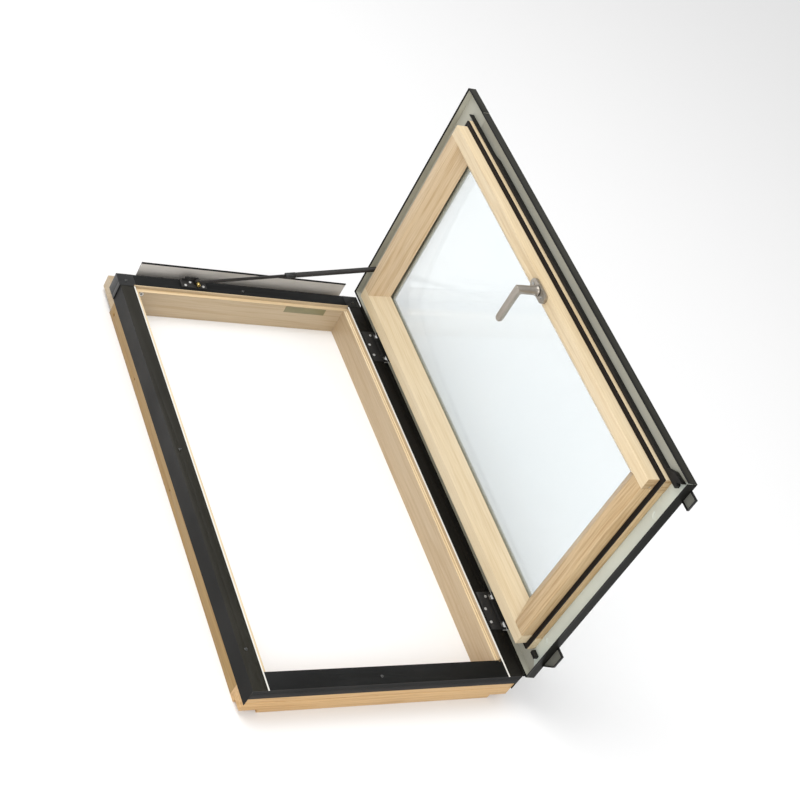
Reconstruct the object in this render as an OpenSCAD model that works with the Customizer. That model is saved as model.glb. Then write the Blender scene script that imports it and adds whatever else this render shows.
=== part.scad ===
// Side-hung roof escape window: pine frame with aluminium covers, and a double-glazed
// pine sash on two hinges, held open by a telescopic stay and shut by two shoot bolts.
// The frame lies flat: +Z is the outer, weather side, +Y runs up the roof and the hinges
// are at +X. The origin is the centre of the frame's underside. Sash pieces are drawn
// shut and swung open about the hinge pins by open_angle.

/* [Frame] */
// Width across the frame timber
frame_w = 660; // [550:5:940]
// Length of the frame timber, up the roof
frame_h = 1180; // [900:5:1400]
// Depth from the underside to the top of the covers
frame_depth = 86; // [76:1:110]
// Width of the frame stiles
stile_w = 46.5; // [45:0.5:60]
// Width of the frame bottom rail
bottom_rail_w = 46; // [45:0.5:60]
// Width of the frame top rail
top_rail_w = 78; // [76:0.5:95]
// Depth of the recess under the frame corners
relief_depth = 11; // [4:0.5:18]

/* [Covers] */
// Thickness of the frame's cover sheet
frame_sheet = 1; // [0.8:0.1:1.2]
// Depth of the outer face of a side cover
cover_drop = 50; // [30:1:56]
// Depth of the front face of the bottom cover
bottom_drop = 28; // [15:1:45]
// Height of the rib along the outer edge of the right cover
rib_h = 7; // [3:0.5:8]
// Height of the hood above the cover tops
hood_rise = 16; // [10:0.5:30]

/* [Sash] */
// Opening angle of the sash
open_angle = 88; // [20:1:90]
// Width of the flat inner face of the sash stiles
sash_face_w = 28.5; // [24:0.5:36]
// Depth of the sash timber
sash_depth = 53; // [50:0.5:60]
// Width of the sloping face between the inner face and the glass
bevel_w = 35.5; // [25:0.5:45]
// Thickness of the sash's cover sheet
sash_sheet = 1.5; // [1:0.1:1.6]
// Depth of the rim of the sash covers
rim_depth = 21; // [16:0.5:21]

/* [Glass] */
// Thickness of each pane
pane_t = 4; // [3:0.5:6]
// Gap between the panes
gas_gap = 8; // [6:1:16]

/* [Hinges] */
// Length of a hinge
hinge_len = 100; // [84:1:140]
// Height of the lower hinge's middle above the lower end
hinge_low = 168; // [120:1:250]
// Distance of the upper hinge's middle from the upper end
hinge_up = 209; // [200:1:300]
// Radius of the hinge pin
pin_r = 3; // [2.4:0.1:3.6]

/* [Handle] */
// Height of the handle axis above the lower end
handle_y = 577; // [400:1:700]
// Distance from the handle axis to the middle of the grip's round end
grip_len = 92; // [75:1:115]
// Distance of the grip's centre line from the sash timber
grip_out = 58; // [42:1:65]

/* [Stay] */
// Distance of the stay's frame pivot from the hinge axis
stay_reach = 465; // [430:1:480]
// Distance of the stay's sash pivot from the hinge axis, along the sash
stay_arm = 121.8; // [100:0.1:130]
// Length of the stay tube up to its sash pivot
tube_len = 260; // [245:1:280]
// Length of the stay rod from its frame pivot
rod_len = 300; // [280:1:305]

/* [Hidden] */
$fn = 48;
eps = 0.01;
past = 1;
gap = 0.3;
fit = 0.05;
left = -frame_w / 2;
right = frame_w / 2;
bottom = -frame_h / 2;
top = frame_h / 2;
z_cover = frame_depth;
z_wood = z_cover - frame_sheet;

// frame timber
rebate_in = 10;
side_rebate = stile_w - rebate_in;
low_rebate = bottom_rail_w - rebate_in;
high_rebate = top_rail_w - rebate_in;
ledge_z = z_cover - 10;
low_ledge_z = ledge_z - frame_sheet;
shelf_w = 34;
shelf_z = z_cover - 40;
relief_x = 43.5;
relief_low = 27.5;
groove_w = 2;
groove_d = 1.5;
groove_at = side_rebate + rebate_in / 2;
lamination_z = frame_depth - 50;
fixing_r = 2.5;
fixing_depth = 22;
fixing_z = 16;
fixing_low = bottom + frame_h * 0.4665;
fixing_high = bottom + frame_h * 0.741;
lifting_y = top - 102;
lifting_r = 4;

// frame covers
cover_w = side_rebate - 3.5;
cover_out = frame_sheet;
cover_low = bottom - 3;
cover_high = top - 72;
high_cover_in = top - high_rebate + 2;
strip_proud = 0.2;
hem_proud = 0.6;
rib_in = 0.5;
rib_arc_r = 60;
rib_clear = 6;
hood_t = 1.2;
hood_y = top - 3;
hem_r = 1.6;
hood_left = left + 66;
hood_right = right - 24;
cap_low = cover_high + gap;
cap_high = top - shelf_w + frame_sheet;
cap_side = 3;
cap_in = 39;
cap_proud = 0.7;
cap_drop = 48;
slit_y = cap_low + 12;
slit_w = 1;
slit_d = 0.6;
label_a = [right - 213, z_cover - 32];
label_b = [right - 97, z_cover - 12];
label_t = 0.5;
head_r = 3.3;
head_h = 1.4;
shank_r = 1.7;
slot_w = 0.8;
slot_d = 0.5;
screw_len = 18;

// hinges
pin_x = right + 8;
pin_z = z_cover - 4;
barrel_r = pin_r + 3.5;
leaf_t = pin_z + barrel_r - z_cover;
leaf_w = 28;
end_knuckle = 5;
mid_knuckle = 60;
pin_head_r = barrel_r - 1;
pin_head_h = 1;
leaf_spots = [[-8, hinge_len * 0.37], [-22.5, hinge_len * 0.04], [-22.5, -hinge_len * 0.31]];
low_y = bottom + hinge_low;
up_y = top - hinge_up;
web_t = 2.5;
web_x = pin_x - barrel_r;
notch_clear = 2;
hinge_lip = 5.5;

// sash section: distances in from the frame timber's outer faces, heights shut
sash_gap = 2;
step_w = 10;
flange_z = z_cover + 16;
top_z = flange_z + sash_sheet;
step_z = z_cover - 4;
inner_z = flange_z - sash_depth;
lip_z = top_z - rim_depth;
side_in = stile_w + sash_gap;
low_in = bottom_rail_w + sash_gap;
high_in = top_rail_w + sash_gap;
side_open = side_in + sash_face_w;
low_open = low_in + sash_face_w + 8.5;
high_open = high_in + sash_face_w;
side_glass = side_open + bevel_w;
low_glass = low_open + bevel_w;
high_glass = high_open + bevel_w;
side_out = side_in - step_w;
low_out = low_in - step_w;
high_out = high_in - step_w;
gasket_t = 5.5;
leaf_inner_x = right - side_out - 22;
leaf_hole_x = leaf_inner_x + 8;
leaf_hole_y = [-hinge_len * 0.35, 0, hinge_len * 0.35];
leaf_screw_len = 24;

// glazing
glass_cover = 17.5;
glass_gap = 2;
seal_t = 1;
tape_t = 1;
pane_low_z = flange_z - tape_t - 2 * pane_t - gas_gap;
rebate_z = pane_low_z - seal_t;
spacer_out = 5;
spacer_w = 8.5;
unit_drop = 7;
pane_a = [left + side_glass - glass_cover, bottom + low_glass - glass_cover];
pane_b = [right - side_glass + glass_cover, top - high_glass + glass_cover - unit_drop];
view_a = [left + side_glass, bottom + low_glass];
view_b = [right - side_glass, top - high_glass];

// sash covers
cover_lap = 8;
rim_x = left - 6.5;
rim_low = bottom - 9;
rim_foot = bottom - 5.5;
rim_top = top - 7;
lap_x = pane_a[0] + cover_lap;
lap_low = pane_a[1] + cover_lap;
lap_high = pane_b[1] - cover_lap;
cap_y = rim_top - 87.5;
end_proud = 0.6;
tab_reach = 24;
tab_fold = 6;
tab_wall = 1.6;
seal_z = z_cover + 5;
pad_a = [right - side_out - 1.5, bottom + 16];
pad_b = [right - side_out + 7.5, bottom + 34];
pad_z = flange_z - 10;
pad_slot = 3;

// handle and lock
handle_x = left + side_in + 16.5;
axis_y = bottom + handle_y;
rosette_r = 12.5;
rosette_half = 21;
rosette_t = 8;
rosette_screw = 22;
neck_r = 9.5;
grip_r = 8.5;
spindle = 7;
spindle_hole = 6;
spindle_end = inner_z - rosette_t - 20;
crank_r = 10;
crank_pin_r = 1.8;
bolt_travel = 2 * crank_r * sin(45);
crank_y = crank_r * sin(45);
crank_far = crank_r + crank_pin_r + gap;
crank_near = crank_r * cos(45) - crank_pin_r - 2 * gap;
rod_off = 8.5;
rod_r = 3;
case_z = inner_z + 11;
case_wall = 1.3;
case_half_x = crank_far + case_wall + 0.1;
case_half_y = 24;
case_h = 13.5;
disc_z = case_z + case_wall + gap;
disc_t = 3;
disc_r = crank_far;
foot_z = disc_z + disc_t + gap;
foot_t = 3.8;
foot_half = 5;
fork_half = crank_pin_r + 2 * gap;
rod_z = foot_z + rod_r;
bolt_in = 1.5;
keep_r = 6;
keep_len = bolt_travel;
bolt_low = bottom + low_in + bolt_in;
bolt_high = top - high_in - bolt_in;

// stay
stay_y = top - 45;
stay_z = z_cover + 8;
stay_x = pin_x - stay_reach;
arm_x = pin_x - stay_arm;
open_x = pin_x + (arm_x - pin_x) * cos(open_angle) + (stay_z - pin_z) * sin(open_angle);
open_z = pin_z - (arm_x - pin_x) * sin(open_angle) + (stay_z - pin_z) * cos(open_angle);
stay_angle = atan2(open_z - stay_z, open_x - stay_x);
stay_len = sqrt(pow(open_x - stay_x, 2) + pow(open_z - stay_z, 2));
stay_rod_r = 4;
eye_r = 7;
eye_half = 4.5;
tube_r = 6.6;
sleeve_r = 7.5;
sleeve_len = 26;
mouth = stay_len - tube_len;
bore_len = 222;
tongue_t = 6;
tongue_len = 16;
journal_r = 4;
boss_r = 6;
boss_end = stay_y - eye_r - gap;
journal_end = stay_y - eye_r + tongue_t + gap;
stay_pin_r = 2.5;
foot_plate_t = 2.5;
wall_t = 2.5;
wall_half = 9;
bush_r = 4.5;
bush_y = stay_y - 12.5;
hub_y = stay_y - 3;
bracket_plate_t = 3;
bracket_low = stay_y - 14;
bracket_high = top - shelf_w;
bracket_left = stay_x - 43;
bracket_right = stay_x + 24;
stay_screws = [[bracket_left + 11, stay_y - 8.5], [bracket_right - 9, stay_y - 8.5],
    [bracket_left + 26, stay_y + 3]];

pine = [0.87, 0.74, 0.55];
umber = [0.20, 0.19, 0.17];
grey_coat = [0.66, 0.66, 0.62];
black = [0.10, 0.10, 0.10];
steel = [0.55, 0.55, 0.55];
nickel = [0.62, 0.59, 0.56];
brass = [0.72, 0.58, 0.30];
pale = [0.90, 0.90, 0.87];
clear_glass = [0.80, 0.92, 0.93, 0.4];

// A box from one corner to the opposite one
module box(a, b) {
    translate(a) cube(b - a);
}

// Carries an outline drawn in X and Z along Y
module along_y(y0, y1) {
    translate([0, y1, 0]) rotate([90, 0, 0]) linear_extrude(y1 - y0) children();
}

// Carries an outline drawn in Y and Z along X
module along_x(x0, x1) {
    translate([x0, 0, 0]) rotate([90, 0, 90]) linear_extrude(x1 - x0) children();
}

// A round bar along Y, centred on x and z
module rod_y(x, z, y0, y1, r) {
    translate([x, y1, z]) rotate([90, 0, 0]) cylinder(h = y1 - y0, r = r);
}

// Swings a piece drawn shut to the opening angle
module swung() {
    translate([pin_x, 0, pin_z]) rotate([0, open_angle, 0])
        translate([-pin_x, 0, -pin_z]) children();
}

// Places a piece drawn along X from the stay's frame pivot
module on_stay() {
    translate([stay_x, stay_y, stay_z]) rotate([0, -stay_angle, 0]) children();
}

// A rectangular ring between two outlines, from z0 to z1
module ring(outer_a, outer_b, inner_a, inner_b, z0, z1) {
    difference() {
        box([outer_a[0], outer_a[1], z0], [outer_b[0], outer_b[1], z1]);
        box([inner_a[0], inner_a[1], z0 - past], [inner_b[0], inner_b[1], z1 + past]);
    }
}

// A slotted screw, its head standing on z = 0 and its shank going down
module screw(len) {
    difference() {
        cylinder(h = head_h, r = head_r);
        box([-head_r, -slot_w / 2, head_h - slot_d], [head_r, slot_w / 2, head_h + past]);
    }
    translate([0, 0, -len]) cylinder(h = len + eps, r = shank_r);
}

// The hole a screw of that length makes below z = 0
module screw_hole(len) {
    translate([0, 0, -len]) cylinder(h = len + past, r = shank_r);
}

// ---- frame timber ----

// Stile outline in X and Z with its rebate and ledge groove, outer face at x = 0
module stile_outline() {
    polygon([[0, 0], [stile_w, 0], [stile_w, ledge_z],
        [groove_at + groove_w / 2, ledge_z], [groove_at + groove_w / 2, ledge_z - groove_d],
        [groove_at - groove_w / 2, ledge_z - groove_d], [groove_at - groove_w / 2, ledge_z],
        [side_rebate, ledge_z], [side_rebate, z_wood], [0, z_wood]]);
}

// The recess under each frame corner
module corner_reliefs() {
    for (x = [left - past, right - relief_x]) {
        box([x, bottom - past, -past], [x + relief_x + past, bottom + relief_low, relief_depth]);
        box([x, top - top_rail_w - past, -past], [x + relief_x + past, top + past, relief_depth]);
    }
}

cover_spots = [[left + 13, bottom + frame_h * 0.516], [left + 13, bottom + 94],
    [-frame_w * 0.039, bottom + 16], [-3, top - 53]];
cap_spots = [[left + 17, top - 55], [right - 17, top - 55]];

// Holes for every screw that goes down into the frame
module frame_screw_holes() {
    for (s = concat(cover_spots, cap_spots, stay_screws))
        translate([s[0], s[1], z_cover]) screw_hole(screw_len + past);
    for (y = [low_y, up_y]) for (s = leaf_spots)
        translate([right + s[0], y + s[1], z_cover]) screw_hole(leaf_screw_len);
}

module fixing_holes(x0) {
    for (y = [fixing_low, fixing_high])
        translate([x0, y, fixing_z]) rotate([0, 90, 0]) cylinder(h = fixing_depth, r = fixing_r);
    translate([x0, lifting_y, fixing_z]) rotate([0, 90, 0]) cylinder(h = fixing_depth, r = lifting_r);
}

module frame_bottom_rail() {
    color(pine) difference() {
        along_x(left, right) polygon([[bottom, 0], [bottom + bottom_rail_w, 0],
            [bottom + bottom_rail_w, low_ledge_z], [bottom + low_rebate, low_ledge_z],
            [bottom + low_rebate, z_wood], [bottom, z_wood],
            [bottom, lamination_z + groove_w], [bottom + groove_d, lamination_z + groove_w / 2],
            [bottom, lamination_z]]);
        corner_reliefs();
        frame_screw_holes();
        rod_y(handle_x + rod_off, rod_z, bottom + bottom_rail_w - keep_len,
            bottom + bottom_rail_w + past, keep_r);
    }
}

module frame_top_rail() {
    color(pine) difference() {
        along_x(left, right) polygon([[top - top_rail_w, 0], [top, 0], [top, shelf_z],
            [top - shelf_w, shelf_z], [top - shelf_w, z_wood], [top - high_rebate, z_wood],
            [top - high_rebate, ledge_z], [top - top_rail_w, ledge_z]]);
        corner_reliefs();
        frame_screw_holes();
        rod_y(handle_x - rod_off, rod_z, top - top_rail_w - past,
            top - top_rail_w + keep_len, keep_r);
    }
}

module frame_left_stile() {
    color(pine) difference() {
        translate([left, 0, 0]) along_y(bottom + bottom_rail_w, top - top_rail_w) stile_outline();
        frame_screw_holes();
        fixing_holes(left - past);
    }
}

module frame_right_stile() {
    color(pine) difference() {
        translate([right, 0, 0])
            along_y(bottom + bottom_rail_w, top - top_rail_w) mirror([1, 0]) stile_outline();
        frame_screw_holes();
        fixing_holes(right + past - fixing_depth);
    }
}

// ---- frame covers ----

// A left-hand side cover: top face and outer face
module side_cover() {
    translate([left, 0, 0]) along_y(cover_low, cover_high) polygon([
        [-cover_out, z_cover - cover_drop], [0, z_cover - cover_drop], [0, z_wood],
        [cover_w, z_wood], [cover_w, z_cover], [-cover_out, z_cover]]);
}

module frame_left_cover() {
    color(umber) difference() {
        side_cover();
        frame_screw_holes();
    }
}

// One stretch of the right cover's rib, falling in an arc at its marked ends
module rib_stretch(y0, y1, low_arc, high_arc) {
    arc_len = sqrt(2 * rib_arc_r * rib_h - rib_h * rib_h);
    a = low_arc ? y0 + arc_len : y0;
    b = high_arc ? y1 - arc_len : y1;
    along_x(right - rib_in, right + cover_out) translate([0, z_cover - eps]) {
        translate([a, 0]) square([b - a, rib_h]);
        if (low_arc) intersection() {
            translate([a, rib_h - rib_arc_r]) circle(r = rib_arc_r);
            translate([y0, 0]) square([arc_len + eps, rib_h]);
        }
        if (high_arc) intersection() {
            translate([b, rib_h - rib_arc_r]) circle(r = rib_arc_r);
            translate([b - eps, 0]) square([arc_len + eps, rib_h]);
        }
    }
}

module frame_right_cover() {
    reach = hinge_len / 2 + rib_clear;
    color(umber) difference() {
        union() {
            mirror([1, 0, 0]) side_cover();
            rib_stretch(cover_low + past, low_y - reach, false, true);
            rib_stretch(low_y + reach, up_y - reach, true, true);
            rib_stretch(up_y + reach, cover_high, true, false);
        }
        frame_screw_holes();
    }
}

module frame_bottom_cover() {
    low_z = z_cover - bottom_drop;
    hem_z = low_z + bottom_drop * 0.6;
    front = cover_low + frame_sheet;
    wall_y = bottom + low_rebate;
    color(umber) difference() {
        union() {
            along_x(left, right) polygon([
                [cover_low - hem_proud, low_z], [bottom, low_z], [bottom, low_z + frame_sheet],
                [front, low_z + frame_sheet], [front, z_wood], [cover_low, z_wood],
                [cover_low, hem_z], [cover_low - hem_proud, hem_z]]);
            along_x(left + side_rebate + gap, right - side_rebate - gap) polygon([
                [front - eps, z_wood - eps], [front, z_wood], [wall_y, z_wood],
                [wall_y, low_ledge_z], [bottom + bottom_rail_w, low_ledge_z],
                [bottom + bottom_rail_w, ledge_z], [wall_y + frame_sheet, ledge_z],
                [wall_y + frame_sheet, z_cover], [cover_low, z_cover], [cover_low, z_wood - eps]]);
        }
        frame_screw_holes();
    }
}

module frame_top_cover() {
    back = top - shelf_w;
    color(umber) difference() {
        along_x(left + cap_in + gap, right - cap_in - gap) polygon([
            [high_cover_in, z_wood], [back, z_wood], [back, shelf_z + frame_sheet],
            [top, shelf_z + frame_sheet], [top, shelf_z + 2 * frame_sheet],
            [back + frame_sheet, shelf_z + 2 * frame_sheet], [back + frame_sheet, z_cover],
            [high_cover_in, z_cover]]);
        frame_screw_holes();
        box([hood_left - gap, hood_y - gap, 0], [hood_right + gap, hood_y + hood_t + gap, z_cover]);
    }
}

module top_hood() {
    hem_z = z_cover + hood_rise - hem_r;
    color(grey_coat) {
        box([hood_left, hood_y, shelf_z], [hood_right, hood_y + hood_t, hem_z]);
        translate([hood_left, hood_y + hood_t / 2, hem_z])
            rotate([0, 90, 0]) cylinder(h = hood_right - hood_left, r = hem_r);
    }
}

// Moulded cap over the upper left corner: a side, a top and a back
module corner_cap() {
    outer = left - cap_side;
    cap_z = z_cover + cap_proud;
    difference() {
        union() {
            box([outer, cap_low, z_cover - cap_drop], [left, cap_high, cap_z]);
            box([left - eps, cap_low, z_wood], [left + cap_in, cap_high, cap_z]);
            box([left - eps, top - shelf_w, z_cover - shelf_w], [left + cap_in, cap_high, cap_z]);
        }
        box([left + cover_w + past, cap_low - past, 0], [left + cap_in + past, high_cover_in, cap_z + past]);
        box([outer - past, slit_y, 0], [outer + slit_d, slit_y + slit_w, cap_z + past]);
        frame_screw_holes();
    }
}

module corner_cap_left() {
    color(black) corner_cap();
}

module corner_cap_right() {
    color(black) mirror([1, 0, 0]) corner_cap();
}

// Pale strip on the timber beside the left cover
module weather_strip() {
    translate([left, 0, 0]) along_y(cover_low, cover_high) polygon([
        [cover_w, z_wood], [side_rebate, z_wood], [side_rebate, z_cover - strip_proud],
        [side_rebate - past, z_cover + strip_proud], [cover_w, z_cover + strip_proud]]);
}

module left_weather_strip() {
    color(pale) weather_strip();
}

module right_weather_strip() {
    color(pale) difference() {
        mirror([1, 0, 0]) weather_strip();
        for (y = [low_y, up_y]) box([right - leaf_w - gap, y - hinge_len / 2 - gap, z_cover],
            [right, y + hinge_len / 2 + gap, z_cover + past]);
    }
}

module cover_screws() {
    color(steel) {
        for (s = cover_spots) translate([s[0], s[1], z_cover]) screw(screw_len);
        for (s = cap_spots) translate([s[0], s[1], z_cover + cap_proud]) screw(screw_len);
    }
}

module label_plate() {
    color(pale) box([label_a[0], top - top_rail_w - label_t, label_a[1]],
        [label_b[0], top - top_rail_w, label_b[1]]);
}

// ---- hinges ----

module frame_leaf(y) {
    half = hinge_len / 2;
    difference() {
        union() {
            box([right - leaf_w, y - half, z_cover], [right + cover_out, y + half, z_cover + leaf_t]);
            for (k = [-half, half - end_knuckle]) {
                box([right, y + k, z_cover], [pin_x, y + k + end_knuckle, z_cover + leaf_t]);
                rod_y(pin_x, pin_z, y + k, y + k + end_knuckle, barrel_r);
            }
        }
        rod_y(pin_x, pin_z, y - half - past, y + half + past, pin_r);
        for (s = leaf_spots) translate([right + s[0], y + s[1], z_cover - past])
            cylinder(h = leaf_t + 2 * past, r = shank_r);
    }
}

module lower_hinge_frame_leaf() {
    color(black) frame_leaf(low_y);
}

module upper_hinge_frame_leaf() {
    color(black) frame_leaf(up_y);
}

module hinge_pin(y) {
    half = hinge_len / 2;
    rod_y(pin_x, pin_z, y - half, y + half, pin_r);
    rod_y(pin_x, pin_z, y + half, y + half + pin_head_h, pin_head_r);
    rod_y(pin_x, pin_z, y - half - pin_head_h, y - half, pin_head_r);
}

module lower_hinge_pin() {
    color(steel) hinge_pin(low_y);
}

module upper_hinge_pin() {
    color(steel) hinge_pin(up_y);
}

module frame_leaf_screws() {
    color(steel) for (y = [low_y, up_y]) for (s = leaf_spots)
        translate([right + s[0], y + s[1], z_cover + leaf_t]) screw(leaf_screw_len);
}

module sash_leaf(y) {
    half = hinge_len / 2;
    difference() {
        union() {
            box([leaf_inner_x, y - half, flange_z - web_t], [web_x + web_t, y + half, flange_z]);
            box([web_x, y - mid_knuckle / 2, pin_z], [web_x + web_t, y + mid_knuckle / 2, flange_z]);
            box([web_x, y - half, pin_z + barrel_r + gap], [web_x + web_t, y + half, flange_z]);
            rod_y(pin_x, pin_z, y - mid_knuckle / 2, y + mid_knuckle / 2, barrel_r);
        }
        rod_y(pin_x, pin_z, y - half, y + half, pin_r + fit);
        for (s = leaf_hole_y) translate([leaf_hole_x, y + s, flange_z]) screw_hole(leaf_screw_len);
    }
}

module lower_hinge_sash_leaf() {
    color(black) swung() sash_leaf(low_y);
}

module upper_hinge_sash_leaf() {
    color(black) swung() sash_leaf(up_y);
}

module sash_leaf_screws() {
    color(steel) swung() for (y = [low_y, up_y]) for (s = leaf_hole_y)
        translate([leaf_hole_x, y + s, flange_z - leaf_screw_len]) cylinder(h = leaf_screw_len, r = shank_r);
}

// ---- sash timber ----

// Sash member outline, measured in from the frame's outer face at 0
module member_outline(inner, open, glass) {
    wall = glass - glass_cover - glass_gap;
    polygon([[inner, inner_z], [open, inner_z], [glass, rebate_z], [wall, rebate_z],
        [wall, flange_z], [inner - step_w, flange_z], [inner - step_w, step_z], [inner, step_z]]);
}

// Plan of the lower or upper rail: between the stiles, mitred along the bevel
module rail_plan(at, dir, open, glass) {
    linear_extrude(flange_z + past) polygon([
        [left + side_open, at], [left + side_open, at + dir * open],
        [left + side_glass, at + dir * glass], [right - side_glass, at + dir * glass],
        [right - side_open, at + dir * open], [right - side_open, at]]);
}

// Plan of the free stile, mitred along the bevel
module stile_plan() {
    linear_extrude(flange_z + past) polygon([
        [left, bottom], [left + side_open, bottom], [left + side_open, bottom + low_open],
        [left + side_glass, bottom + low_glass], [left + side_glass, top - high_glass],
        [left + side_open, top - high_open], [left + side_open, top], [left, top]]);
}

module side_member() {
    difference() {
        intersection() {
            along_y(bottom + low_out, top - high_out) translate([left, 0])
                member_outline(side_in, side_open, side_glass);
            stile_plan();
        }
        box([left, bottom, inner_z - past], [right, bottom + low_in, step_z]);
        box([left, top - high_in, inner_z - past], [right, top, step_z]);
        glass_well();
    }
}

// The well the glass unit sits in, which runs on into the ends of the stiles
module glass_well() {
    box([pane_a[0] - glass_gap, pane_a[1] - glass_gap, rebate_z],
        [pane_b[0] + glass_gap, pane_b[1] + glass_gap, flange_z + past]);
}

module sash_bottom_rail() {
    color(pine) swung() intersection() {
        along_x(left, right) translate([bottom, 0]) member_outline(low_in, low_open, low_glass);
        rail_plan(bottom, 1, low_open, low_glass);
    }
}

module sash_top_rail() {
    color(pine) swung() difference() {
        intersection() {
            along_x(left, right) translate([top, 0]) mirror([1, 0])
                member_outline(high_in, high_open, high_glass);
            rail_plan(top, -1, high_open, high_glass);
        }
        arm_screws(true);
    }
}

// Hollows in the free stile for the lock case, its plug, the rods and the spindle
module lock_pockets() {
    box([handle_x - case_half_x, axis_y - case_half_y, case_z],
        [handle_x + case_half_x, axis_y + case_half_y, flange_z + past]);
    translate([handle_x, axis_y, inner_z - past]) cylinder(h = sash_depth / 2, r = spindle_hole);
    rod_y(handle_x - rod_off, rod_z, axis_y, top - high_in + past, rod_r + gap);
    rod_y(handle_x + rod_off, rod_z, bottom + low_in - past, axis_y, rod_r + gap);
    for (s = [-1, 1]) translate([handle_x, axis_y + s * rosette_screw, inner_z - past])
        cylinder(h = screw_len / 2 + past, r = shank_r);
}

module sash_free_stile() {
    color(pine) swung() difference() {
        side_member();
        lock_pockets();
    }
}

module sash_hinge_stile() {
    color(pine) swung() difference() {
        mirror([1, 0, 0]) side_member();
        for (y = [low_y, up_y]) {
            box([leaf_inner_x, y - hinge_len / 2, flange_z - web_t],
                [right, y + hinge_len / 2, flange_z + past]);
            for (s = leaf_hole_y) translate([leaf_hole_x, y + s, flange_z]) screw_hole(leaf_screw_len);
        }
    }
}

module mortice_plug() {
    color(pine) swung() box([handle_x - case_half_x, axis_y - case_half_y, case_z + case_h],
        [handle_x + case_half_x, axis_y + case_half_y, flange_z]);
}

module sash_gasket() {
    color(black) swung() ring([left + side_out, bottom + low_out], [right - side_out, top - high_out],
        [left + side_in, bottom + low_in], [right - side_in, top - high_in], step_z - gasket_t, step_z);
}

// ---- glazing ----

module glazing_seal() {
    color(black) swung() ring(pane_a, pane_b, view_a, view_b, rebate_z, pane_low_z);
}

module inner_pane() {
    color(clear_glass) swung() box([pane_a[0], pane_a[1], pane_low_z],
        [pane_b[0], pane_b[1], pane_low_z + pane_t]);
}

module outer_pane() {
    z = pane_low_z + pane_t + gas_gap;
    color(clear_glass) swung() box([pane_a[0], pane_a[1], z], [pane_b[0], pane_b[1], z + pane_t]);
}

module spacer_bar() {
    z = pane_low_z + pane_t;
    out = [spacer_out, spacer_out];
    in = [spacer_out + spacer_w, spacer_out + spacer_w];
    color(grey_coat) swung() ring(pane_a + out, pane_b - out, pane_a + in, pane_b - in, z, z + gas_gap);
}

module glazing_tape() {
    color(black) swung() ring(pane_a, pane_b, [lap_x - past, lap_low - past],
        [past - lap_x, lap_high + past], flange_z - tape_t, flange_z);
}

// ---- sash covers ----

// Everything above the slanting face of the lower rim
module above_lower_rim() {
    along_x(rim_x - past, -rim_x + past) polygon([[rim_foot, lip_z], [top, lip_z],
        [top, top_z], [rim_low, top_z]]);
}

module sash_side_cover() {
    intersection() {
        along_y(rim_low, cap_y) polygon([[rim_x, lip_z], [rim_x + sash_sheet, lip_z],
            [rim_x + sash_sheet, flange_z], [lap_x, flange_z], [lap_x, top_z], [rim_x, top_z]]);
        linear_extrude(top_z + past) polygon([[rim_x, rim_low], [lap_x, lap_low],
            [lap_x, cap_y], [rim_x, cap_y]]);
        above_lower_rim();
    }
}

module sash_free_cover() {
    color(umber) swung() sash_side_cover();
}

module sash_hinge_cover() {
    reach = hinge_len / 2 + notch_clear;
    color(umber) swung() difference() {
        union() {
            mirror([1, 0, 0]) sash_side_cover();
            box([-rim_x - sash_sheet, rim_foot + 2 * sash_sheet, pin_z - hinge_lip],
                [-rim_x, cap_y, lip_z + eps]);
        }
        for (y = [low_y, up_y]) box([-rim_x - sash_sheet - past, y - reach, pin_z - hinge_lip - past],
            [-rim_x + past, y + reach, pin_z + barrel_r + past]);
    }
}

module sash_bottom_cover() {
    color(umber) swung() intersection() {
        along_x(rim_x, -rim_x) polygon([[rim_foot, lip_z], [rim_foot + sash_sheet, lip_z],
            [rim_low + sash_sheet, flange_z], [lap_low, flange_z], [lap_low, top_z],
            [rim_low, top_z]]);
        linear_extrude(top_z + past) polygon([[rim_x, rim_low], [-rim_x, rim_low],
            [-lap_x, lap_low], [lap_x, lap_low]]);
    }
}

module sash_top_cover() {
    x0 = rim_x - end_proud;
    color(umber) swung() {
        box([x0, cap_y, flange_z], [-x0, rim_top, top_z]);
        box([lap_x, lap_high, flange_z], [-lap_x, cap_y + eps, top_z]);
        box([x0, rim_top - sash_sheet, lip_z], [-x0, rim_top, flange_z + eps]);
        box([x0, cap_y, lip_z], [x0 + sash_sheet, rim_top, flange_z + eps]);
        box([-x0 - sash_sheet, cap_y, lip_z], [-x0, rim_top, flange_z + eps]);
    }
}

// A tab below the lower rim: a plate with its edges turned down
module drip_tab(x0, x1, slope) {
    translate([0, rim_low, top_z - tab_fold]) difference() {
        linear_extrude(tab_fold) polygon([[x0, 0], [x1 + slope, 0], [x1, -tab_reach], [x0, -tab_reach]]);
        translate([0, 0, -past]) linear_extrude(tab_fold - tab_wall + past) polygon([
            [x0 + tab_wall, past], [x1 + slope - tab_wall, past],
            [x1 - tab_wall, tab_wall - tab_reach], [x0 + tab_wall, tab_wall - tab_reach]]);
    }
}

module free_drip_tab() {
    color(umber) swung() drip_tab(left + 12.5, left + 45, 0);
}

module hinge_drip_tab() {
    color(umber) swung() drip_tab(right - 111, right - 71.5, 31);
}

module side_seal() {
    x = left + side_out;
    thin = 3.5;
    thick = 7.5;
    flare = 20;
    toe = 3;
    foot = bottom + 62;
    start = bottom + 18;
    thin_from = top - 195;
    end = top - 46;
    color(black) swung() translate([0, 0, seal_z]) linear_extrude(flange_z - seal_z) polygon([
        [x, start], [x, end], [x - thin, end - thin], [x - thin, thin_from],
        [x - thick, thin_from - flare], [x - thick, foot], [x - flare, foot - flare],
        [x - flare - toe, start - 3 * toe], [x - thick - toe, start + 2 * toe], [x - thick, start]]);
}

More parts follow.
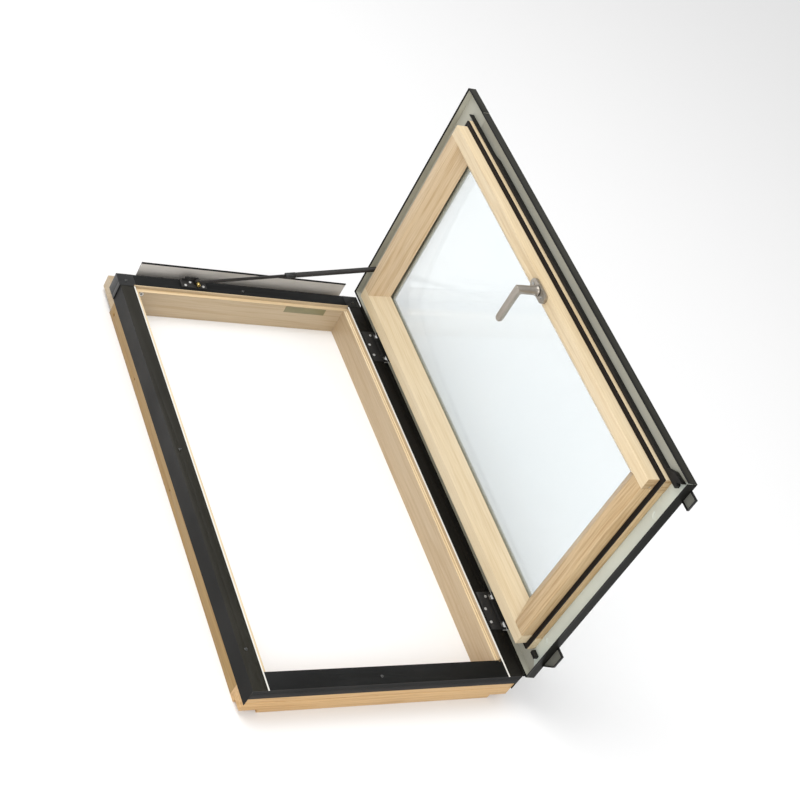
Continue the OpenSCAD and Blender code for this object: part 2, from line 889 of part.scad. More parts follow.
module corner_pad() {
    color(black) swung() difference() {
        box([pad_a[0], pad_a[1], pad_z], [pad_b[0], pad_b[1], flange_z]);
        box([pad_a[0] + pad_slot, pad_a[1] - past, pad_z - past],
            [pad_b[0] - pad_slot, pad_a[1] + 2 * pad_slot, pad_z + pad_slot]);
    }
}

// ---- lock and handle ----

module lock_case() {
    x0 = handle_x - case_half_x;
    x1 = handle_x + case_half_x;
    z1 = case_z + case_h;
    color(steel) swung() difference() {
        box([x0, axis_y - case_half_y, case_z], [x1, axis_y + case_half_y, z1]);
        box([x0 + case_wall, axis_y - case_half_y + case_wall, case_z + case_wall],
            [x1 - case_wall, axis_y + case_half_y - case_wall, z1 - case_wall]);
        translate([handle_x, axis_y, case_z - past]) cylinder(h = case_wall + 2 * past, r = spindle_hole);
        rod_y(handle_x - rod_off, rod_z, axis_y, axis_y + case_half_y + past, rod_r + gap);
        rod_y(handle_x + rod_off, rod_z, axis_y - case_half_y - past, axis_y, rod_r + gap);
    }
}

module drive_disc() {
    color(steel) swung() translate([handle_x, axis_y, disc_z]) {
        cylinder(h = disc_t, r = disc_r);
        for (s = [-1, 1]) translate([s * crank_y, s * crank_y, disc_t - eps])
            cylinder(h = foot_t + gap + eps, r = crank_pin_r);
        box([-spindle / 2, -spindle / 2, spindle_end - disc_z], [spindle / 2, spindle / 2, eps]);
    }
}

module handle_lever() {
    grip_z = inner_z - grip_out;
    color(nickel) swung() difference() {
        translate([handle_x, axis_y, grip_z]) {
            cylinder(h = grip_out - gap, r = neck_r);
            sphere(r = neck_r);
            rotate([0, 90, 0]) cylinder(h = grip_len, r1 = neck_r, r2 = grip_r);
            translate([grip_len, 0, 0]) sphere(r = grip_r);
        }
        box([handle_x - spindle / 2, axis_y - spindle / 2, spindle_end],
            [handle_x + spindle / 2, axis_y + spindle / 2, inner_z]);
    }
}

module handle_rosette() {
    color(nickel) swung() translate([handle_x, axis_y, inner_z - rosette_t]) difference() {
        union() {
            for (s = [-1, 1]) translate([0, s * rosette_half, 0]) cylinder(h = rosette_t, r = rosette_r);
            box([-rosette_r, -rosette_half, 0], [rosette_r, rosette_half, rosette_t]);
        }
        translate([0, 0, -past]) cylinder(h = rosette_t + 2 * past, r = neck_r + fit);
        for (s = [-1, 1]) translate([0, s * rosette_screw, -past])
            cylinder(h = rosette_t + 2 * past, r = shank_r);
    }
}

module rosette_screws() {
    color(steel) swung() for (s = [-1, 1])
        translate([handle_x, axis_y + s * rosette_screw, inner_z - rosette_t])
            mirror([0, 0, 1]) screw(rosette_t + screw_len / 2);
}

// A shoot bolt drawn for the upper side: fork around its crank pin, then the rod.
// The handle axis is at the origin and reach is the distance to the bolt's tip.
module bolt_rod(reach) {
    difference() {
        box([-crank_far, -crank_y - foot_half, foot_z],
            [-eps - past, -crank_y + foot_half, foot_z + foot_t]);
        box([-crank_far - past, -crank_y - fork_half, foot_z - past],
            [-crank_near, -crank_y + fork_half, foot_z + foot_t + past]);
    }
    rod_y(-rod_off, rod_z, foot_half - crank_y - past, reach, rod_r);
}

module upper_bolt_rod() {
    color(steel) swung() translate([handle_x, axis_y, 0]) bolt_rod(bolt_high - axis_y);
}

module lower_bolt_rod() {
    color(steel) swung() translate([handle_x, axis_y, 0]) rotate([0, 0, 180]) bolt_rod(axis_y - bolt_low);
}

// Steel bush in a frame rail that a shoot bolt enters
module keep(x, y) {
    difference() {
        rod_y(x, rod_z, y, y + keep_len, keep_r);
        rod_y(x, rod_z, y - past, y + keep_len + past, rod_r + 2 * gap);
    }
}

module bottom_keep() {
    color(steel) keep(handle_x + rod_off, bottom + bottom_rail_w - keep_len);
}

module top_keep() {
    color(steel) keep(handle_x - rod_off, top - top_rail_w);
}

// ---- stay ----

module stay_bracket() {
    plate_z = z_cover + foot_plate_t;
    color(black) difference() {
        union() {
            box([bracket_left, bracket_low, z_cover], [bracket_right, bracket_high, plate_z]);
            box([bracket_left + 6, bracket_high - wall_t, z_cover],
                [stay_x + wall_half, bracket_high, stay_z]);
            box([bracket_left + 12, bracket_high - wall_t, z_cover],
                [stay_x + wall_half - 6, bracket_high, stay_z + wall_half - 3]);
            rod_y(stay_x, stay_z, bracket_high - wall_t, bracket_high, wall_half - 3);
        }
        box([stay_x - eye_r - past, hub_y - 2 * gap, z_cover - past],
            [stay_x + eye_r + past, bracket_high - wall_t, plate_z + past]);
        rod_y(stay_x, stay_z, bracket_high - wall_t - past, bracket_high + past, stay_pin_r);
        for (s = stay_screws) translate([s[0], s[1], z_cover - past])
            cylinder(h = foot_plate_t + 2 * past, r = shank_r);
    }
}

// Brass bush pressed into the eye of the stay rod, standing out in front of it
module stay_bush() {
    color(brass) on_stay() difference() {
        rod_y(0, 0, bush_y - stay_y, eye_half + gap, bush_r);
        rod_y(0, 0, bush_y - stay_y - past, eye_half + gap + past, stay_pin_r + fit);
    }
}

module stay_pivot_pin() {
    color(steel) {
        rod_y(stay_x, stay_z, bracket_high - wall_t, bracket_high + past, stay_pin_r);
        rod_y(stay_x, stay_z, bracket_high, bracket_high + head_h, bush_r);
    }
}

module stay_bracket_screws() {
    color(steel) for (s = stay_screws)
        translate([s[0], s[1], z_cover + foot_plate_t]) screw(screw_len);
}

module stay_rod() {
    color(steel) on_stay() difference() {
        union() {
            rod_y(0, 0, hub_y - stay_y, eye_half, eye_r);
            rotate([0, 90, 0]) cylinder(h = rod_len, r = stay_rod_r);
        }
        rod_y(0, 0, hub_y - stay_y - past, eye_half + past, bush_r);
    }
}

module stay_tube() {
    tongue_y = -eye_r;
    color(black) on_stay() difference() {
        union() {
            translate([mouth, 0, 0]) rotate([0, 90, 0]) cylinder(h = tube_len - tongue_len, r = tube_r);
            box([stay_len - tongue_len - past, tongue_y, -eye_r], [stay_len, tongue_y + tongue_t, eye_r]);
            rod_y(stay_len, 0, tongue_y, tongue_y + tongue_t, eye_r);
        }
        translate([mouth - past, 0, 0]) rotate([0, 90, 0])
            cylinder(h = bore_len + past, r = stay_rod_r + fit);
        rod_y(stay_len, 0, tongue_y - past, tongue_y + tongue_t + past, journal_r);
    }
}

module stay_sleeve() {
    color(black) on_stay() translate([mouth, 0, 0]) rotate([0, 90, 0]) difference() {
        cylinder(h = sleeve_len, r = sleeve_r);
        translate([0, 0, -past]) cylinder(h = sleeve_len + 2 * past, r = tube_r);
    }
}

// The two screws of the sash bracket, or with hole set the holes they make
module arm_screws(hole) {
    face = top - high_out + bracket_plate_t;
    for (s = [-1, 1]) translate([arm_x + s * (boss_r + 6), face, stay_z]) rotate([-90, 0, 0])
        if (hole) screw_hole(screw_len); else screw(screw_len);
}

module stay_sash_bracket() {
    half_x = boss_r + 11;
    color(black) swung() difference() {
        union() {
            box([arm_x - half_x, top - high_out, stay_z - boss_r],
                [arm_x + half_x, top - high_out + bracket_plate_t, stay_z + boss_r]);
            rod_y(arm_x, stay_z, top - high_out, boss_end, boss_r);
            rod_y(arm_x, stay_z, top - high_out, journal_end + head_h, journal_r - fit);
            rod_y(arm_x, stay_z, journal_end, journal_end + head_h, boss_r);
        }
        arm_screws(true);
    }
}

module stay_sash_screws() {
    color(steel) swung() arm_screws(false);
}

frame_bottom_rail();
frame_top_rail();
frame_left_stile();
frame_right_stile();
frame_left_cover();
frame_right_cover();
frame_bottom_cover();
frame_top_cover();
top_hood();
corner_cap_left();
corner_cap_right();
left_weather_strip();
right_weather_strip();
cover_screws();
label_plate();
lower_hinge_frame_leaf();
upper_hinge_frame_leaf();
lower_hinge_pin();
upper_hinge_pin();
frame_leaf_screws();
stay_bracket();
stay_bush();
stay_pivot_pin();
stay_bracket_screws();
bottom_keep();
top_keep();
sash_bottom_rail();
sash_top_rail();
sash_free_stile();
sash_hinge_stile();
mortice_plug();
sash_gasket();
glazing_seal();
inner_pane();
outer_pane();
spacer_bar();
glazing_tape();
sash_free_cover();
sash_hinge_cover();
sash_bottom_cover();
sash_top_cover();
free_drip_tab();
hinge_drip_tab();
side_seal();
corner_pad();
lower_hinge_sash_leaf();
upper_hinge_sash_leaf();
sash_leaf_screws();
lock_case();
handle_rosette();
rosette_screws();
stay_sash_bracket();
stay_sash_screws();
handle_lever();
drive_disc();
upper_bolt_rod();
lower_bolt_rod();
stay_rod();
stay_tube();
stay_sleeve();
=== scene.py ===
# A side-hung roof window, standing open: pine frame and sash, folded aluminium covers,
# double glazing, two hinges, a telescopic stay and a turning handle.
import math
import bmesh
import bpy
import numpy as np
from mathutils import Euler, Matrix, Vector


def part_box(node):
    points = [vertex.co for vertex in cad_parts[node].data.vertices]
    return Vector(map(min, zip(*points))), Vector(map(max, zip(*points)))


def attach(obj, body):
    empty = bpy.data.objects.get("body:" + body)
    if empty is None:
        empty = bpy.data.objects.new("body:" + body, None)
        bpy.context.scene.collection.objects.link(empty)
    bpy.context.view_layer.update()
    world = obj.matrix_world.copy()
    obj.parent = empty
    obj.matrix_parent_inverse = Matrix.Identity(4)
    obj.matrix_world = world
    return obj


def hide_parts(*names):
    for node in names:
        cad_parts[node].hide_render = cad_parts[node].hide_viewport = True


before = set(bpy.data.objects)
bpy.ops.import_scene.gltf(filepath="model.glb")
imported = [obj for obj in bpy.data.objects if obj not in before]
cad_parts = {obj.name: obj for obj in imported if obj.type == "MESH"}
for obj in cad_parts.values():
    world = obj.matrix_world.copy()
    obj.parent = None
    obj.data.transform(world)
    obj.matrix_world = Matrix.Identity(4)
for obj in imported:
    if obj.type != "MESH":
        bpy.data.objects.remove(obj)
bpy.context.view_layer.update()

# ---- Camera -------------------------------------------------------------------------
# The viewer stands low on the left, beyond the bottom rail, and looks down over the open
# frame. The turns are in degrees, about x, then y, then z.
eye = bpy.data.cameras.new("eye")
eye.lens = 71.6
eye.sensor_width = 36.0
eye_turns = (47.209, -26.257, -21.722)
eye_stand = bpy.data.objects.new("eye", eye)
eye_stand.location = (-1.8227, -2.0242, 2.4655)
eye_stand.rotation_euler = Euler([math.radians(a) for a in eye_turns])
bpy.context.collection.objects.link(eye_stand)
bpy.context.scene.camera = eye_stand

# ---- Studio -------------------------------------------------------------------------
# A pale floor, an even white surround, and two large soft lamps: one high above on the
# left and a weaker one behind the viewer.
floor_reach = 9.0
floor_mesh = bpy.data.meshes.new("studio_floor")
floor_mesh.from_pydata([(-floor_reach, -floor_reach, 0), (floor_reach, -floor_reach, 0),
                        (floor_reach, floor_reach, 0), (-floor_reach, floor_reach, 0)],
                       [], [(0, 1, 2, 3)])
studio_floor = bpy.data.objects.new("studio_floor", floor_mesh)
bpy.context.collection.objects.link(studio_floor)
floor_paint = bpy.data.materials.new("floor_paint")
floor_paint.use_nodes = True
floor_skin = floor_paint.node_tree.nodes["Principled BSDF"]
floor_skin.inputs["Base Color"].default_value = (0.93, 0.93, 0.93, 1)
floor_skin.inputs["Roughness"].default_value = 0.9
floor_mesh.materials.append(floor_paint)

surround = bpy.data.worlds.new("surround")
bpy.context.scene.world = surround
surround.use_nodes = True
surround_light = surround.node_tree.nodes["Background"]
surround_light.inputs["Color"].default_value = (1, 1, 1, 1)
surround_light.inputs["Strength"].default_value = 0.72
bpy.context.scene.view_settings.view_transform = "Standard"


def soft_lamp(name, place, aim, size, watts):
    """A square area lamp at place, turned so that its face looks at aim: its tilt is the
    angle between straight down and the line to aim, its heading that line's on the floor."""
    lamp = bpy.data.lights.new(name, "AREA")
    lamp.shape = "SQUARE"
    lamp.size = size
    lamp.energy = watts
    stand = bpy.data.objects.new(name, lamp)
    stand.location = place
    away = np.array(aim, float) - np.array(place, float)
    stand.rotation_euler = Euler((math.atan2(math.hypot(away[0], away[1]), -away[2]), 0,
                                  math.atan2(away[0], -away[1]) + math.pi))
    bpy.context.collection.objects.link(stand)


lamp_aim = (0.1, 0.0, 0.2)
soft_lamp("lamp_high", (-1.1, 0.9, 3.9), lamp_aim, 2.6, 85)
soft_lamp("lamp_front", (-1.6, -3.4, 2.4), lamp_aim, 2.4, 62)

# ---- Frame timber -------------------------------------------------------------------
# Two rails and two stiles of laminated pine, planed, rebated, glued at the corners and
# clear varnished. Every arris is eased, so each timber gets a narrow round on its edges.


def light(red, green, blue):
    """Screen colour from 0 to 255 to linear light: divide, then the usual gamma curve."""
    return tuple((v / 255 / 12.92) if v <= 10 else ((v / 255 + 0.055) / 1.055) ** 2.4
                 for v in (red, green, blue)) + (1.0,)


def shade(colour, times, plus=0.0):
    """A lighter or darker colour: each part times one number, plus another, at most one."""
    return tuple(min(1.0, v * times + plus) for v in colour[:3]) + (1.0,)


def round_edges(piece, width, segments, limit, edge_slot=-1, flat=False):
    """Rounds the edges where faces meet at more than limit degrees. The round is width
    metres wide in that many steps, and takes the finish in edge_slot, or its faces' own."""
    ease = piece.modifiers.new("eased_edges", "BEVEL")
    ease.width = width
    ease.segments = segments
    ease.limit_method = "ANGLE"
    ease.angle_limit = math.radians(limit)
    ease.harden_normals = not flat
    ease.material = edge_slot


def eased(node, width, finishes, body, segments=2, sides=None, edge_slot=-1, limit=30,
          flat=False, cuts=()):
    """A merged copy of a CAD solid with its sharp edges rounded, which stands for it.
    sides gets the face normals and middles and gives each face its place in finishes; cuts
    are planes, each a point and a direction, that split the faces so a hem can be told off."""
    same_point, on_cut, same_plane = 2e-6, 1e-6, math.radians(0.6)
    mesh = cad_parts[node].data.copy()
    mesh.name = node + "_shape"
    work = bmesh.new()
    work.from_mesh(mesh)
    bmesh.ops.remove_doubles(work, verts=work.verts, dist=same_point)
    bmesh.ops.dissolve_limit(work, angle_limit=same_plane, verts=work.verts, edges=work.edges)
    for point, way in cuts:
        bmesh.ops.bisect_plane(work, geom=work.verts[:] + work.edges[:] + work.faces[:],
                               plane_co=point, plane_no=way, dist=on_cut)
    work.to_mesh(mesh)
    work.free()
    mesh.materials.clear()
    for finish in finishes:
        mesh.materials.append(finish)
    count = len(mesh.polygons)
    mesh.polygons.foreach_set("use_smooth", np.full(count, not flat))
    choice = np.zeros(count, np.int32)
    if sides is not None:
        normals = np.empty(count * 3)
        middles = np.empty(count * 3)
        mesh.polygons.foreach_get("normal", normals)
        mesh.polygons.foreach_get("center", middles)
        choice = sides(normals.reshape(-1, 3), middles.reshape(-1, 3)).astype(np.int32)
    mesh.polygons.foreach_set("material_index", choice)
    mesh.update()
    piece = bpy.data.objects.new(node + "_finished", mesh)
    bpy.context.collection.objects.link(piece)
    round_edges(piece, width, segments, limit, edge_slot, flat)
    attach(piece, body)
    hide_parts(node)


class Bench:
    """Lays out one material's nodes. skin is its shader, and where gives each point's
    place on the piece in metres, so a pattern's scale counts its repeats in a metre."""

    # sockets of a node that mixes colours: how much, the two colours in, the one out
    much, first, second, mixed = 0, 6, 7, 2

    def __init__(self, name):
        self.material = bpy.data.materials.new(name)
        self.material.use_nodes = True
        self.tree = self.material.node_tree
        self.skin = self.tree.nodes["Principled BSDF"]
        self.where = self.add("ShaderNodeTexCoord")

    def tell(self, node, **values):
        """Sets a node's inputs by name, with _ for a space."""
        for key, value in values.items():
            node.inputs[key.replace("_", " ")].default_value = value

    def add(self, kind, settings=None, **values):
        """Makes a node of that kind with its own settings and the values of its inputs."""
        made = self.tree.nodes.new(kind)
        for key, value in (settings or {}).items():
            setattr(made, key, value)
        self.tell(made, **values)
        return made

    def join(self, source, out, target, into):
        """Wires an output of one node to an input of another."""
        self.tree.links.new(source.outputs[out], target.inputs[into])

    def clouds(self, scale, detail):
        """Soft noise over the piece, alike in all directions."""
        made = self.add("ShaderNodeTexNoise", Scale=scale, Detail=detail)
        self.join(self.where, "Object", made, "Vector")
        return made

    def drawn_out(self, source, along, across, kind, **values):
        """A texture on coordinates that run along x: so many repeats along and across."""
        stretch = self.add("ShaderNodeMapping", Scale=(along, across, across))
        self.join(source, "Vector", stretch, "Vector")
        made = self.add(kind, Scale=1.0, **values)
        self.join(stretch, "Vector", made, "Vector")
        return made

    def ramp(self, source, out, stops):
        """Maps a grey value onto colours: stops are (place, colour)."""
        made = self.add("ShaderNodeValToRGB")
        while len(made.color_ramp.elements) < len(stops):
            made.color_ramp.elements.new(0.5)
        for element, (place, colour) in zip(made.color_ramp.elements, stops):
            element.position = place
            element.color = colour
        self.join(source, out, made, "Fac")
        return made

    def stain(self, coloured, amount, source, out, stops):
        """Multiplies a mixed colour by a ramp on a grey value, as strongly as amount."""
        made = self.add("ShaderNodeMix", {"data_type": "RGBA", "blend_type": "MULTIPLY"})
        made.inputs[self.much].default_value = amount
        self.join(coloured, self.mixed, made, self.first)
        self.join(self.ramp(source, out, stops), "Color", made, self.second)
        return made

    def colour(self, source, stops):
        """Colours the skin by a grey value: stops are (place, colour)."""
        self.join(self.ramp(source, "Fac", stops), "Color", self.skin, "Base Color")

    def gloss(self, source, stops):
        """Varies the skin's roughness by a grey value: stops are (place, roughness)."""
        greys = [(place, (rough, rough, rough, 1.0)) for place, rough in stops]
        self.join(self.ramp(source, "Fac", greys), "Color", self.skin, "Roughness")

    def relief(self, source, strength, height):
        """Raises the skin by a grey value, up to height in metres."""
        bump = self.add("ShaderNodeBump", Strength=strength, Distance=height)
        self.join(source, "Fac", bump, "Height")
        self.join(bump, "Normal", self.skin, "Normal")


def pine(name, grain_turn, pith, tone, streak=0.5, ring=0.45):
    """Varnished pine. Growth rings are cylinders about a pith line beside the timber, bent
    by slow noise, and only their late wood darkens; long thin streaks and fine fibres run
    along it, slow clouds vary the tone, and a few small knots swell out of the grain."""
    b = Bench(name)
    grain = b.add("ShaderNodeMapping", {"vector_type": "TEXTURE"},
                  Location=pith, Rotation=grain_turn)
    b.join(b.where, "Object", grain, "Vector")

    # place across the grain plus 0.07 m of slow noise, and rings about the pith on that
    drift = b.drawn_out(grain, 1.6, 10.0, "ShaderNodeTexNoise", Detail=2.0, Roughness=0.5)
    sway = b.add("ShaderNodeVectorMath", {"operation": "MULTIPLY_ADD"})
    sway.inputs[1].default_value = (0.0, 0.07, 0.07)
    b.join(drift, "Color", sway, 0)
    b.join(grain, "Vector", sway, 2)
    rings = b.add("ShaderNodeTexWave",
                  {"wave_type": "RINGS", "rings_direction": "X", "wave_profile": "SIN"},
                  Scale=58.0, Distortion=2.2, Detail=3.0, Detail_Scale=1.4, Detail_Roughness=0.55)
    b.join(sway, "Vector", rings, "Vector")
    base = light(*tone)
    early = shade(base, 1.08)
    late = (base[0] * 0.86, base[1] * 0.79, base[2] * 0.68, 1.0)
    ringed = b.ramp(rings, "Fac",
                    [(0.0, early), (0.5, base), (0.78, base), (0.93, late), (1.0, base)])
    wood = b.add("ShaderNodeMix", {"data_type": "RGBA"})
    wood.inputs[b.much].default_value = ring
    wood.inputs[b.first].default_value = base
    b.join(ringed, "Color", wood, b.second)

    # resin streaks, fibres, clouds of tone, and knots with a dark heart
    white = (1.0, 1.0, 1.0, 1.0)
    streaks = b.drawn_out(grain, 5.0, 150.0, "ShaderNodeTexNoise", Detail=4.0, Roughness=0.6)
    wood = b.stain(wood, streak, streaks, "Fac",
                   [(0.36, (0.80, 0.72, 0.60, 1)), (0.52, white), (0.68, (1.05, 1.04, 1.01, 1))])
    fibres = b.drawn_out(grain, 22.0, 900.0, "ShaderNodeTexNoise", Detail=3.0, Roughness=0.6)
    wood = b.stain(wood, 0.5, fibres, "Fac", [(0.3, (0.90, 0.87, 0.82, 1)), (0.6, white)])
    tones = b.drawn_out(grain, 2.6, 18.0, "ShaderNodeTexNoise", Detail=2.0)
    wood = b.stain(wood, 0.75, tones, "Fac", [(0.32, (0.93, 0.885, 0.80, 1)), (0.66, white)])
    knots = b.drawn_out(grain, 2.2, 7.0, "ShaderNodeTexVoronoi", Randomness=1.0)
    wood = b.stain(wood, 0.8, knots, "Distance",
                   [(0.0, (0.42, 0.27, 0.15, 1)), (0.035, (0.66, 0.48, 0.32, 1)), (0.07, white)])
    b.join(wood, b.mixed, b.skin, "Base Color")

    b.gloss(fibres, [(0.2, 0.52), (0.8, 0.40)])
    b.relief(fibres, 0.16, 0.0004)
    b.tell(b.skin, Coat_Weight=0.1, Coat_Roughness=0.3, Specular_IOR_Level=0.35)
    return b.material


def ledge_up(normals, middles):
    """Painted light: a paler pine on the faces above 60 mm that look up, on the ledge and rebate.
    """
    return np.where((normals[:, 2] > 0.7) & (middles[:, 2] > 0.06), 1, 0)


frame_arris = 0.0012
crosswise = (0.0, 0.0, 0.0)
lengthwise = (0.0, 0.0, math.pi / 2)
# The ledge pines are paler than the timbers: painted light on the faces that look up.
ledge_pine_painted_light = pine("pine_ledge_painted_light", lengthwise, (0.42, 0.0, -0.1), (238, 220, 186), 0.6, 0.6)
top_ledge_pine_painted_light = pine("pine_top_ledge_painted_light", crosswise, (0.1, 0.72, -0.1), (224, 202, 166), 0.6, 0.6)
for timber, grain_turn, pith, tone, streak, ring, ledge in (
        ("bottom_rail", crosswise, (0.1, -0.66, 0.16), (205, 170, 122), 0.8, 0.7, top_ledge_pine_painted_light),
        ("top_rail", crosswise, (0.9, 0.74, 0.24), (188, 170, 143), 0.5, 0.3, top_ledge_pine_painted_light),
        ("left_stile", lengthwise, (-0.42, 0.2, 0.13), (160, 130, 80), 0.7, 0.5, ledge_pine_painted_light),
        ("right_stile", lengthwise, (0.42, -0.1, -0.05), (192, 172, 143), 0.5, 0.3, ledge_pine_painted_light)):
    timber_pine = pine("pine_" + timber, grain_turn, pith, tone, streak, ring)
    eased("frame_" + timber, frame_arris, [timber_pine, ledge], "frame", segments=3, sides=ledge_up)

# ---- Frame covers -------------------------------------------------------------------
# Folded aluminium sheet screwed over the outside of the timber, baked umber. Its folds and
# cut edges take fine pale lines: a painted highlight on the rounded edges.


def baked_coat(name, colour, roughness, fleck=0.05):
    """Powder coat: even colour with slow dull patches and a fine orange-peel bump. The
    patches are lighter by four times fleck and darker by twice fleck."""
    b = Bench(name)
    patches = b.clouds(7.0, 3.0)
    b.colour(patches, [(0.3, shade(colour, 1 - 2 * fleck)),
                       (0.7, shade(colour, 1 + 4 * fleck, 0.002))])
    b.gloss(patches, [(0.25, roughness + 0.06), (0.75, roughness - 0.05)])
    b.relief(b.clouds(900.0, 2.0), 0.10, 0.0002)
    b.tell(b.skin, Specular_IOR_Level=0.2)
    return b.material


def bright_edge(name, colour, roughness=0.35):
    """A lighter half-metal finish for rounded edges, its tone broken by fine noise: on the covers'
    folds, a painted highlight.
    """
    b = Bench(name)
    b.colour(b.clouds(240.0, 3.0), [(0.3, shade(colour, 0.8)), (0.7, colour)])
    b.tell(b.skin, Metallic=0.5, Roughness=roughness)
    return b.material


def outer_face(normals, middles):
    """Painted shade: the darker coat on a side cover's outer face, on faces that look left."""
    return np.where(normals[:, 0] < -0.7, 2, 0)


umber_side = baked_coat("umber_coat_side", light(20, 18, 14), 0.5)
umber_front = baked_coat("umber_coat_front", light(13, 14, 14), 0.52)
# The left cover's top face takes a lighter umber as painted light, and its outer face a darker one
# as painted shade.
umber_top_painted_light = baked_coat("umber_coat_top_painted_light", light(34, 32, 25), 0.5)
umber_outer_painted_shade = baked_coat("umber_coat_outer_painted_shade", light(9, 8, 6), 0.55)
# Painted highlights on the rounded folds: brighter on the left cover, dimmer on the others.
fold_highlight = bright_edge("umber_fold_highlight", light(92, 90, 80))
fold_highlight_dim = bright_edge("umber_fold_highlight_dim", light(78, 77, 72))
eased("frame_left_cover", 0.0006, [umber_top_painted_light, fold_highlight, umber_outer_painted_shade], "frame",
      sides=outer_face, edge_slot=1)
eased("frame_right_cover", 0.0005, [umber_side, fold_highlight_dim], "frame", edge_slot=1, limit=40)
eased("frame_bottom_cover", 0.0004, [umber_front, fold_highlight_dim], "frame", edge_slot=1)
eased("frame_top_cover", 0.0004, [umber_front], "frame")

# ---- Hood ---------------------------------------------------------------------------
# An upright sheet at the top rail that sheds water over the sash: grey back coat towards
# the window, umber behind, its top edge rolled over in a black hem 4.8 mm high.
hood_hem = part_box("top_hood")[1][2] - 0.0048


def hood_sides(normals, middles):
    """Grey where the sheet faces down the roof, umber behind, black on the hem."""
    pick = np.where(normals[:, 1] < -0.7, 0, 1)
    return np.where(middles[:, 2] > hood_hem, 2, pick)


grey_back = baked_coat("grey_back_coat", light(238, 232, 224), 0.5, 0.02)
hem_black = baked_coat("black_hem_coat", light(14, 14, 13), 0.4)
eased("top_hood", 0.0002, [grey_back, umber_side, hem_black], "frame", sides=hood_sides,
      cuts=[((0.0, 0.0, hood_hem), (0.0, 0.0, 1.0))])

# ---- Corner caps --------------------------------------------------------------------
# Moulded black plastic caps over the two upper corners, where the side covers meet the top
# one. Each has a side, a top and a back wall, and is held by one screw.


def moulded(name, colour, roughness, grain=700.0):
    """Moulded plastic: even colour, slightly uneven gloss and a fine spark-eroded grain."""
    b = Bench(name)
    slow = b.clouds(25.0, 2.0)
    b.colour(slow, [(0.3, shade(colour, 0.85)), (0.7, colour)])
    b.gloss(slow, [(0.3, roughness + 0.05), (0.7, roughness - 0.05)])
    b.relief(b.clouds(grain, 2.0), 0.15, 0.0002)
    return b.material


cap_plastic = moulded("cap_plastic", light(18, 18, 18), 0.42)
for side in ("left", "right"):
    eased("corner_cap_" + side, 0.0008, [cap_plastic], "frame", segments=3)

# ---- Weather strips -----------------------------------------------------------------
# Pale flexible plastic strips, laid along the timber of both stiles, that close the gap
# between it and the side covers.
strip_white = moulded("strip_white", light(238, 236, 228), 0.5)
for side in ("left", "right"):
    eased(side + "_weather_strip", 0.0002, [strip_white], "frame")

# ---- Label --------------------------------------------------------------------------
# A small thin plate, left blank, stuck to the inside of the top rail under a film whose
# gloss is slightly uneven.
label_film = moulded("label_film", light(132, 126, 92), 0.4, 300.0)
eased("label_plate", 0.0002, [label_film], "frame")

# ---- Screws -------------------------------------------------------------------------
# Turned and slotted steel screws, zinc plated. Those of the covers are blackened, with plain
# zinc on their rounded rims; those on the frame's hinge leaves and stay bracket are the
# brightest, with painted glints.


def plated(name, colour, roughness, metal=1.0):
    """Plated steel: metal with a mottled tone and turned marks in its roughness."""
    b = Bench(name)
    mottle = b.clouds(320.0, 4.0)
    b.colour(mottle, [(0.3, shade(colour, 0.75)), (0.7, colour)])
    b.gloss(mottle, [(0.3, roughness + 0.1), (0.7, roughness - 0.05)])
    b.tell(b.skin, Metallic=metal)
    return b.material


zinc = plated("zinc_plate", light(190, 190, 188), 0.28)
dark_zinc = plated("blackened_screw", light(70, 70, 70), 0.3, 0.7)
# Pale and only half metal, so the screws and keeps that take it show painted glints.
zinc_painted_glint = plated("screw_painted_glint", light(225, 225, 222), 0.35, 0.35)
eased("cover_screws", 0.0004, [dark_zinc, zinc], "frame", edge_slot=1)
eased("frame_leaf_screws", 0.0004, [zinc_painted_glint], "frame")
eased("stay_bracket_screws", 0.0004, [zinc_painted_glint], "frame")
eased("rosette_screws", 0.0004, [zinc], "sash")
eased("sash_leaf_screws", 0.0002, [zinc], "sash")
eased("stay_sash_screws", 0.0004, [zinc], "sash")

# ---- Hinges -------------------------------------------------------------------------
# Two hinges of pressed steel leaves, coated black with a lighter half-metal finish on their
# rounded edges, rolled round bright steel pins. One leaf is screwed to the frame and the other to
# the sash.
hinge_black = baked_coat("hinge_black", light(46, 45, 44), 0.4)
hinge_edge_tone = bright_edge("hinge_edge_finish", light(84, 82, 80), 0.4)
pin_steel = plated("pin_steel", light(165, 164, 160), 0.3, 0.6)
for level in ("lower", "upper"):
    eased(level + "_hinge_frame_leaf", 0.0004, [hinge_black, hinge_edge_tone], "frame", edge_slot=1)
    eased(level + "_hinge_sash_leaf", 0.0004, [hinge_black, hinge_edge_tone], "sash", edge_slot=1)
    eased(level + "_hinge_pin", 0.0005, [pin_steel], "frame")

# ---- Stay bracket -------------------------------------------------------------------
# A folded steel angle, coated black and held on the top cover by three screws. The
# stay's pivot pin sits in its upright wall.
eased("stay_bracket", 0.0004, [hinge_black, hinge_edge_tone], "frame", edge_slot=1)
eased("stay_pivot_pin", 0.0003, [pin_steel], "frame")

# ---- Keeps --------------------------------------------------------------------------
# Small steel bushes let into the frame's bottom and top rails, which the shoot bolts
# enter when the window is locked.
# The keeps take the same pale zinc, with its painted glints.
eased("bottom_keep", 0.0003, [zinc_painted_glint], "frame")
eased("top_keep", 0.0003, [zinc_painted_glint], "frame")

# ---- Sash timber --------------------------------------------------------------------
# Stepped pine members with a wide bevel towards the glass; stiles run through and the
# rails butt between them. A pine plug closes the lock's mortice.
sash_turn = math.radians(88.0)
rail_turn = (0.0, sash_turn, 0.0)
sash_arris = 0.0018


def end_face(normals, middles):
    """Darker end grain where the stile is cut across, on faces that look down the roof."""
    return np.where(normals[:, 1] < -0.7, 1, 0)


